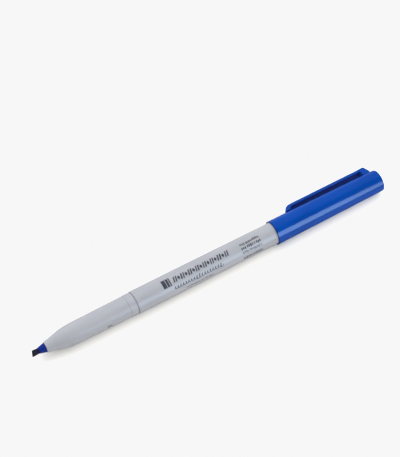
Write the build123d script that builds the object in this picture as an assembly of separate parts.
from build123d import *
import os

# A calligraphy marker with a broad chisel nib, its cap posted on the rear of the barrel.
#
# Frame: origin on the pen's axis, in the middle of the barrel's straight stretch.
# +X runs along the axis from the nib towards the cap's closed end, and +Z is up.
# All lengths are in millimetres and all angles in degrees.

# The seam between the grip section and the barrel, with the barrel's straight stretch
# running as far behind the origin as in front of it
BARREL_STRAIGHT = 22.0
SEAM_X = -BARREL_STRAIGHT / 2

# Other stations along the axis
NIB_TIP_X = SEAM_X - 45.65
COLLAR_FRONT_X = SEAM_X - 42.35
NOSE_FRONT_X = SEAM_X - 39.5
BARREL_REAR_X = SEAM_X + 84.7
CAP_MOUTH_X = SEAM_X + 64.7
CAP_LENGTH = 52.2
CAP_END_X = CAP_MOUTH_X + CAP_LENGTH

# Barrel
BARREL_R = 4.84
BARREL_REAR_R = 4.53
BARREL_REAR_ROUND = 0.6
BARREL_EDGE = 0.15
BARREL_BORE_R = 3.75
BARREL_END_WALL = 1.4
SPIGOT_R = 3.95
SPIGOT_END_X = SEAM_X + 12.0
RIB_COUNT = 4
RIB_WIDTH = 0.6
RIB_LENGTH = 11.0
RIB_ROOT = 0.2

# Grip section
NOSE_PROFILE = (
    (NOSE_FRONT_X, 2.22),
    (SEAM_X - 36.9, 2.77),
    (SEAM_X - 34.2, 3.41),
    (SEAM_X - 31.4, 4.0),
    (SEAM_X - 28.3, 4.32),
    (SEAM_X - 24.3, 4.45),
)
GRIP_REAR_X = SEAM_X - 3.6
GRIP_REAR_R = 4.6
NOSE_EDGE = 0.12
CAP_LAND_X = SEAM_X - 3.35
CAP_LAND_R = 4.68
LAND_GROOVE_X = SEAM_X - 3.5
LAND_GROOVE_R = 4.52
SEAM_GROOVE_X = SEAM_X - 0.35
SEAM_GROOVE_R = 4.3
SECTION_BORE_R = 3.3
SECTION_BORE_END_X = SEAM_X - 24.4
THROAT_R = 1.45
THROAT_END_X = SEAM_X - 30.5
SPIGOT_CHAMFER = 0.4

# Gate mark left by the mould, on the near side of the grip section
GATE_X = SEAM_X - 13.5
GATE_ROLL = 86.0
GATE_SURFACE_R = 4.52
GATE_LENGTH = 2.2
GATE_WIDTH = 0.9
GATE_DEPTH = 0.2

# Tip collar
COLLAR_FRONT_R = 1.28
COLLAR_BASE_R = 2.02
COLLAR_TAIL_R = 1.85
COLLAR_TAIL_X = SEAM_X - 33.2
COLLAR_LEAD_IN = 0.3
VENT_WIDTH = 0.5
VENT_DEPTH = 0.3
VENT_ANGLES = (0, 180)

# Nib: a round fibre shaft that opens into a flat blade with an oblique edge
NIB_SHAFT_R = 0.75
NIB_TAIL_X = SEAM_X - 19.6
NIB_TAIL_POINT = 0.8
NIB_TAIL_R = 0.25
NIB_NECK_HALF_WIDTH = 1.12
NIB_TIP_HALF_WIDTH = 1.26
NIB_NECK_HALF_THICKNESS = 0.6
NIB_TIP_HALF_THICKNESS = 0.27
NIB_OBLIQUE = 0.85
NIB_EDGE_ROUND = 0.1
NIB_ROLL = 60.0

# Ink reservoir
FIBRE_R = 3.08
FIBRE_FRONT_X = SEAM_X - 24.0
FIBRE_REAR_X = SEAM_X + 81.5
FIBRE_CHAMFER = 0.3
FILM_THICKNESS = 0.12
FILM_INSET = 0.5

# Cap
CAP_MOUTH_R = 5.2
CAP_END_R = 4.7
CAP_END_ROUND = 0.55
CAP_RIM_ROUND = 0.12
CAP_BORE_MOUTH_R = 4.74
CAP_BORE_POST_R = 4.6
CAP_BORE_POST_DEPTH = 20.0
CAP_BORE_NOSE_R = 4.36
CAP_BORE_NOSE_DEPTH = 32.0
LINER_SEAT_R = 3.6
LINER_SEAT_DEPTH = 33.4
CAP_END_WALL = 1.1

# Sealing liner inside the cap
LINER_MOUTH_R = 3.38
LINER_CUP_R = 2.72
LINER_CONE_LENGTH = 3.4
LINER_END_WALL = 0.9

# Clip, drawn with the clip straight up and then rolled over to the far side
CLIP_ROLL = 88.0
CLIP_WIDTH = 4.3
CLIP_OUTER_R = 7.6
CLIP_INNER_R = 6.38
CLIP_PIVOT_X = SEAM_X + 110.9
CLIP_TIP_X = SEAM_X + 74.5
CLIP_TIP_LENGTH = 3.7
CLIP_TIP_LEAN = 0.25
CLIP_PAD_LENGTH = 1.9
CLIP_PAD_RISE = 1.1
CLIP_PAD_R = 5.17
CLIP_PAD_LEAD = 0.3
CLIP_EDGE_ROUND = 0.22
KNUCKLE_CLEARANCE = 0.03
ROOT_FRONT_X = SEAM_X + 111.9
ROOT_TOP_REAR_X = SEAM_X + 114.0
ROOT_BASE_REAR_X = SEAM_X + 115.3
ROOT_SUNK_R = 4.2
ROOT_FILLET = 0.5

# Two positions closer than this count as the same when edges are picked out
SAME_PLACE = 0.01


def turned(points):
    """Solid of revolution about X from a closed outline of (x, radius) points."""
    return revolve(make_face(Polyline(*points, close=True)), axis=Axis.X)


def cylinder_x(radius, start, end):
    """Plain cylinder along X."""
    return turned([(start, 0), (start, radius), (end, radius), (end, 0)])


def slab(points, width):
    """Prism across Y, centred on the axis plane, from an outline of (x, z) points."""
    face = make_face(Plane.XZ * Polyline(*points, close=True))
    return extrude(face, amount=width / 2, both=True)


def cap_outer_r(x):
    """Radius of the cap's tapering outside at station x."""
    return CAP_MOUTH_R + (CAP_END_R - CAP_MOUTH_R) * (x - CAP_MOUTH_X) / CAP_LENGTH


def barrel():
    """Light grey tube, straight at the front, tapering to a closed rear end."""
    outside = turned([
        (SEAM_X, 0),
        (SEAM_X, BARREL_R - BARREL_EDGE),
        (SEAM_X + BARREL_EDGE, BARREL_R),
        (SEAM_X + BARREL_STRAIGHT, BARREL_R),
        (BARREL_REAR_X, BARREL_REAR_R),
        (BARREL_REAR_X, 0),
    ])
    rear_rim = outside.edges().filter_by(GeomType.CIRCLE).group_by(Axis.X)[-1]
    outside = fillet(rear_rim, BARREL_REAR_ROUND)
    bore_end = BARREL_REAR_X - BARREL_END_WALL
    tube = outside - cylinder_x(BARREL_BORE_R, SEAM_X, bore_end)
    tube -= cylinder_x(SPIGOT_R, SEAM_X, SPIGOT_END_X)
    return tube + barrel_ribs(bore_end)


def barrel_ribs(bore_end):
    """Small ribs at the rear of the bore that centre the reservoir."""
    rib_inner_r = FIBRE_R + FILM_THICKNESS
    rib_outer_r = BARREL_BORE_R + RIB_ROOT
    height = rib_outer_r - rib_inner_r
    rib = Box(RIB_LENGTH, RIB_WIDTH, height)
    rib = Pos(bore_end - RIB_LENGTH / 2, 0, rib_inner_r + height / 2) * rib
    ribs = [Rot(X=360 / RIB_COUNT * number) * rib for number in range(RIB_COUNT)]
    return Compound(children=ribs).solids()


def grip_section():
    """Grey nose that the fingers hold, with a spigot pressed into the barrel."""
    front_r = NOSE_PROFILE[0][1]
    shoulder_x, shoulder_r = NOSE_PROFILE[-1]
    nose_slope = (NOSE_PROFILE[1][1] - front_r) / (NOSE_PROFILE[1][0] - NOSE_FRONT_X)
    grip_slope = (GRIP_REAR_R - shoulder_r) / (GRIP_REAR_X - shoulder_x)
    nose = Spline(*NOSE_PROFILE, tangents=((1, nose_slope), (1, grip_slope)))
    rest = Polyline(
        (shoulder_x, shoulder_r),
        (GRIP_REAR_X, GRIP_REAR_R),
        (LAND_GROOVE_X, LAND_GROOVE_R),
        (CAP_LAND_X, CAP_LAND_R),
        (SEAM_GROOVE_X, CAP_LAND_R),
        (SEAM_X, SEAM_GROOVE_R),
        (SEAM_X, SPIGOT_R),
        (SPIGOT_END_X - SPIGOT_CHAMFER, SPIGOT_R),
        (SPIGOT_END_X, SPIGOT_R - SPIGOT_CHAMFER),
        (SPIGOT_END_X, SECTION_BORE_R),
        (SECTION_BORE_END_X, SECTION_BORE_R),
        (THROAT_END_X, THROAT_R),
        (COLLAR_TAIL_X, THROAT_R),
        (COLLAR_TAIL_X, COLLAR_TAIL_R),
        (NOSE_FRONT_X, COLLAR_TAIL_R),
        (NOSE_FRONT_X, front_r),
    )
    section = revolve(make_face(nose.edges() + rest.edges()), axis=Axis.X)
    front_edges = section.edges().filter_by(GeomType.CIRCLE).group_by(Axis.X)[0]
    section = fillet(front_edges.sort_by(SortBy.RADIUS)[-1], NOSE_EDGE)
    return section - gate_mark()


def gate_mark():
    """Shallow oval recess at the grip section's surface."""
    outline = SlotOverall(GATE_LENGTH, GATE_WIDTH)
    floor = Pos(GATE_X, 0, GATE_SURFACE_R - GATE_DEPTH) * outline
    cutter = extrude(floor, amount=2 * GATE_DEPTH + GATE_WIDTH)
    return Rot(X=GATE_ROLL) * cutter


def tip_collar():
    """Blue cone that holds the nib, with two air vents along its tail."""
    collar = turned([
        (COLLAR_FRONT_X, NIB_SHAFT_R),
        (COLLAR_FRONT_X, COLLAR_FRONT_R),
        (NOSE_FRONT_X, COLLAR_BASE_R),
        (NOSE_FRONT_X, COLLAR_TAIL_R),
        (COLLAR_TAIL_X - COLLAR_LEAD_IN, COLLAR_TAIL_R),
        (COLLAR_TAIL_X, COLLAR_TAIL_R - COLLAR_LEAD_IN),
        (COLLAR_TAIL_X, NIB_SHAFT_R),
    ])
    tail_length = COLLAR_TAIL_X - NOSE_FRONT_X
    vent = Box(tail_length, VENT_WIDTH, 2 * VENT_DEPTH)
    vent = Pos(NOSE_FRONT_X + tail_length / 2, 0, COLLAR_TAIL_R) * vent
    for angle in VENT_ANGLES:
        collar -= Rot(X=angle) * vent
    return collar


def nib():
    """Fibre nib: a flat chisel blade with an oblique edge, on a round shaft."""
    shaft = turned([
        (COLLAR_FRONT_X, 0),
        (COLLAR_FRONT_X, NIB_SHAFT_R),
        (NIB_TAIL_X - NIB_TAIL_POINT, NIB_SHAFT_R),
        (NIB_TAIL_X, NIB_TAIL_R),
        (NIB_TAIL_X, 0),
    ])
    blade_outline = [
        (COLLAR_FRONT_X, NIB_NECK_HALF_WIDTH),
        (NIB_TIP_X + NIB_OBLIQUE, NIB_TIP_HALF_WIDTH),
        (NIB_TIP_X, -NIB_TIP_HALF_WIDTH),
        (COLLAR_FRONT_X, -NIB_NECK_HALF_WIDTH),
    ]
    blade = slab(blade_outline, 4 * NIB_NECK_HALF_THICKNESS)
    wedge_outline = [
        (COLLAR_FRONT_X, NIB_NECK_HALF_THICKNESS),
        (NIB_TIP_X, NIB_TIP_HALF_THICKNESS),
        (NIB_TIP_X, -NIB_TIP_HALF_THICKNESS),
        (COLLAR_FRONT_X, -NIB_NECK_HALF_THICKNESS),
    ]
    blade &= Rot(X=90) * slab(wedge_outline, 4 * NIB_TIP_HALF_WIDTH)
    free_edges = [edge for edge in blade.edges() if not touches_collar(edge)]
    blade = fillet(free_edges, NIB_EDGE_ROUND)
    return Rot(X=-NIB_ROLL) * (blade + shaft)


def touches_collar(edge):
    """True for the blade's edges that lie in the collar's front plane."""
    return abs(edge.center().X - COLLAR_FRONT_X) < SAME_PLACE


def reservoir_fibre():
    """Bonded fibre rod that holds the ink, with a socket for the nib's tail."""
    rod = turned([
        (FIBRE_FRONT_X, 0),
        (FIBRE_FRONT_X, FIBRE_R - FIBRE_CHAMFER),
        (FIBRE_FRONT_X + FIBRE_CHAMFER, FIBRE_R),
        (FIBRE_REAR_X - FIBRE_CHAMFER, FIBRE_R),
        (FIBRE_REAR_X, FIBRE_R - FIBRE_CHAMFER),
        (FIBRE_REAR_X, 0),
    ])
    return rod - cylinder_x(NIB_SHAFT_R, FIBRE_FRONT_X, NIB_TAIL_X)


def reservoir_film():
    """Thin plastic sleeve round the fibre rod."""
    start = FIBRE_FRONT_X + FILM_INSET
    end = FIBRE_REAR_X - FILM_INSET
    return turned([
        (start, FIBRE_R),
        (start, FIBRE_R + FILM_THICKNESS),
        (end, FIBRE_R + FILM_THICKNESS),
        (end, FIBRE_R),
    ])


def cap_shell():
    """Blue tapering cap, open at its mouth, with the clip's root on its closed end."""
    outside = turned([
        (CAP_MOUTH_X, 0),
        (CAP_MOUTH_X, CAP_MOUTH_R),
        (CAP_END_X, CAP_END_R),
        (CAP_END_X, 0),
    ])
    end_rim = outside.edges().filter_by(GeomType.CIRCLE).group_by(Axis.X)[-1]
    outside = fillet(end_rim, CAP_END_ROUND)
    mouth_rim = outside.edges().filter_by(GeomType.CIRCLE).group_by(Axis.X)[0]
    outside = fillet(mouth_rim, CAP_RIM_ROUND)
    bore = turned([
        (CAP_MOUTH_X, 0),
        (CAP_MOUTH_X, CAP_BORE_MOUTH_R),
        (CAP_MOUTH_X + CAP_BORE_POST_DEPTH, CAP_BORE_POST_R),
        (CAP_MOUTH_X + CAP_BORE_NOSE_DEPTH, CAP_BORE_NOSE_R),
        (CAP_MOUTH_X + LINER_SEAT_DEPTH, LINER_SEAT_R),
        (CAP_END_X - CAP_END_WALL, LINER_SEAT_R),
        (CAP_END_X - CAP_END_WALL, 0),
    ])
    return outside + clip_root() - bore


def clip_root():
    """Wall that carries the clip, with a hollow end that the clip's knuckle sits in."""
    mid_r = (CLIP_OUTER_R + CLIP_INNER_R) / 2
    socket_r = (CLIP_OUTER_R - CLIP_INNER_R) / 2 + KNUCKLE_CLEARANCE
    wall = slab([
        (CLIP_PIVOT_X, CLIP_INNER_R),
        (CLIP_PIVOT_X, CLIP_OUTER_R),
        (ROOT_TOP_REAR_X, CLIP_OUTER_R),
        (ROOT_BASE_REAR_X, cap_outer_r(ROOT_BASE_REAR_X)),
        (ROOT_BASE_REAR_X, ROOT_SUNK_R),
        (ROOT_FRONT_X, ROOT_SUNK_R),
        (ROOT_FRONT_X, CLIP_INNER_R),
    ], CLIP_WIDTH)
    inner_corner = [e for e in wall.edges().filter_by(Axis.Y) if is_at(e, ROOT_FRONT_X, CLIP_INNER_R)]
    outer_corner = [e for e in wall.edges().filter_by(Axis.Y) if is_at(e, ROOT_TOP_REAR_X, CLIP_OUTER_R)]
    wall = fillet(inner_corner + outer_corner, ROOT_FILLET)
    socket = Pos(CLIP_PIVOT_X, 0, mid_r) * Rot(X=90) * Cylinder(socket_r, 2 * CLIP_WIDTH)
    return Rot(X=-CLIP_ROLL) * (wall - socket)


def is_at(edge, x, z):
    """True for an edge across Y that passes through (x, z)."""
    centre = edge.center()
    return abs(centre.X - x) < SAME_PLACE and abs(centre.Z - z) < SAME_PLACE


def cap_clip():
    """Clip bar with a padded, rounded tip and a round knuckle at its root."""
    mid_r = (CLIP_OUTER_R + CLIP_INNER_R) / 2
    half_thickness = (CLIP_OUTER_R - CLIP_INNER_R) / 2
    outer_front = (CLIP_TIP_X + CLIP_TIP_LENGTH, CLIP_OUTER_R)
    tip_low = (CLIP_TIP_X, CLIP_PAD_R + CLIP_PAD_LEAD)
    pad_front = (CLIP_TIP_X + CLIP_PAD_LEAD, CLIP_PAD_R)
    pad_rear = (CLIP_TIP_X + CLIP_PAD_LENGTH, CLIP_PAD_R)
    inner_front = (CLIP_TIP_X + CLIP_PAD_LENGTH + CLIP_PAD_RISE, CLIP_INNER_R)
    bottom = (CLIP_PIVOT_X, CLIP_INNER_R)
    top = (CLIP_PIVOT_X, CLIP_OUTER_R)
    outline = [
        Line(top, outer_front),
        Spline(outer_front, tip_low, tangents=((-1, 0), (-CLIP_TIP_LEAN, -1))),
        Polyline(tip_low, pad_front, pad_rear, inner_front, bottom),
        ThreePointArc(bottom, (CLIP_PIVOT_X + half_thickness, mid_r), top),
    ]
    edges = [edge for piece in outline for edge in piece.edges()]
    face = make_face(Plane.XZ * Compound(children=edges))
    bar = extrude(face, amount=CLIP_WIDTH / 2, both=True)
    bar = fillet(outer_rim(bar), CLIP_EDGE_ROUND)
    return Rot(X=-CLIP_ROLL) * bar


def outer_rim(bar):
    """Edges of the bar's outer face and of its rounded tip, along both sides."""
    sides = bar.faces().filter_by(Axis.Y)
    rim = [edge for side in sides for edge in side.edges() if edge.center().Z > CLIP_INNER_R]
    return [edge for edge in rim if edge.geom_type != GeomType.CIRCLE]


def inner_cap():
    """Sealing liner that closes round the nose when the pen is capped."""
    start = CAP_MOUTH_X + LINER_SEAT_DEPTH
    end = CAP_END_X - CAP_END_WALL
    return turned([
        (start, LINER_MOUTH_R),
        (start, LINER_SEAT_R),
        (end, LINER_SEAT_R),
        (end, 0),
        (end - LINER_END_WALL, 0),
        (end - LINER_END_WALL, LINER_CUP_R),
        (start + LINER_CONE_LENGTH, LINER_CUP_R),
    ])


PIECES = {
    "barrel": barrel,
    "grip_section": grip_section,
    "tip_collar": tip_collar,
    "nib": nib,
    "reservoir_fibre": reservoir_fibre,
    "reservoir_film": reservoir_film,
    "cap_shell": cap_shell,
    "cap_clip": cap_clip,
    "inner_cap": inner_cap,
}

os.makedirs("parts", exist_ok=True)
for name, make in PIECES.items():
    solids = make().solids()
    assert len(solids) == 1, f"{name} came out as {len(solids)} solids"
    export_step(solids[0], f"parts/{name}.step")
    box = solids[0].bounding_box()
    print(name, round(solids[0].volume, 2), box.min, box.max)
